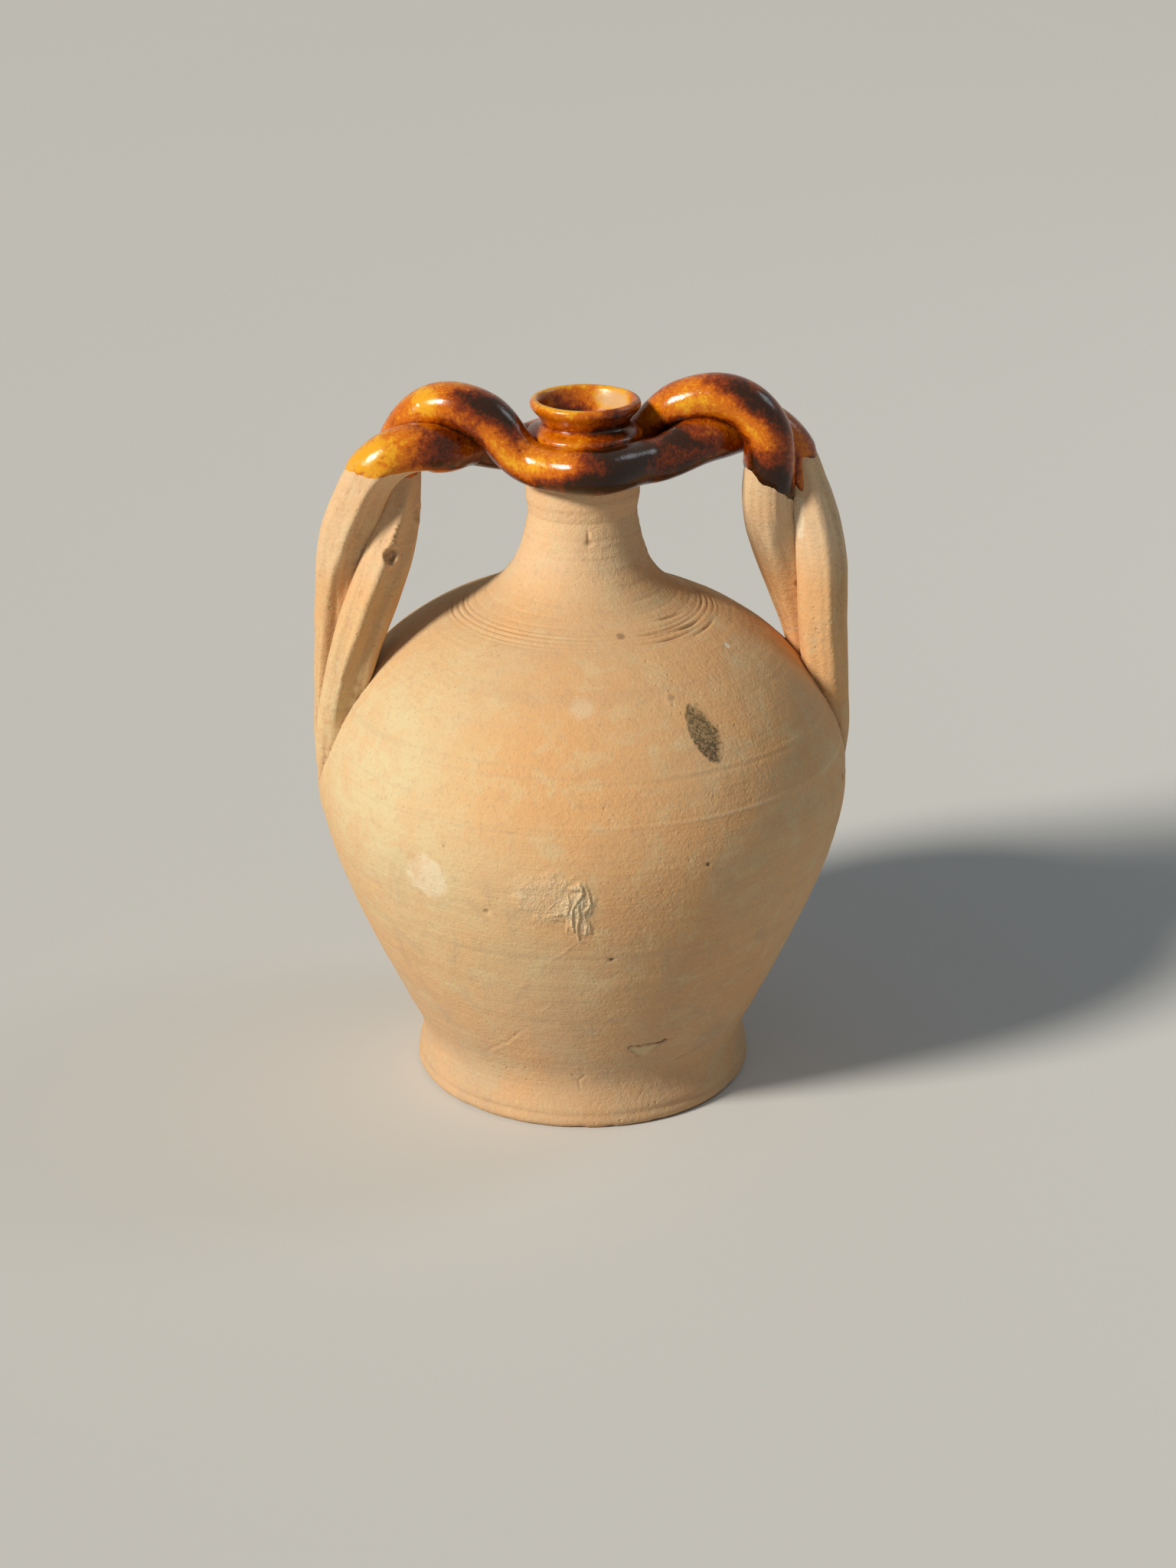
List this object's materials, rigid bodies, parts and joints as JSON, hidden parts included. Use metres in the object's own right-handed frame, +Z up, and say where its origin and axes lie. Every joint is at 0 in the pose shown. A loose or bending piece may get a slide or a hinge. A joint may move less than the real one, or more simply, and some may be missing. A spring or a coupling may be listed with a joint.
{
  "type": "amphora vase",
  "caption": "Unglazed terracotta amphora with a narrow neck, a flared mouth and twisted coil handles, dipped in amber glaze at the top.",
  "frame": {"origin": "centre of the flat underside, on the resting plane", "axes": "+Z up along the vessel's axis, +X toward the right handle as seen from the front, -Y toward the front"},
  "size_m": [0.2074, 0.203, 0.2788],
  "materials": {
    "terracotta": "unglazed, matt, fine grained",
    "amber_glaze": "glossy amber to brown lead-type glaze, mottled"
  },
  "bodies": {
    "root": {"lower_body": "terracotta", "upper_body": "terracotta", "neck": "terracotta", "mouth": "terracotta", "front_coil": "terracotta", "back_coil": "terracotta", "left_root": "terracotta", "right_root": "terracotta", "mouth_glaze": "amber_glaze", "front_coil_glaze": "amber_glaze", "back_coil_glaze": "amber_glaze"}
  },
  "joints": []
}
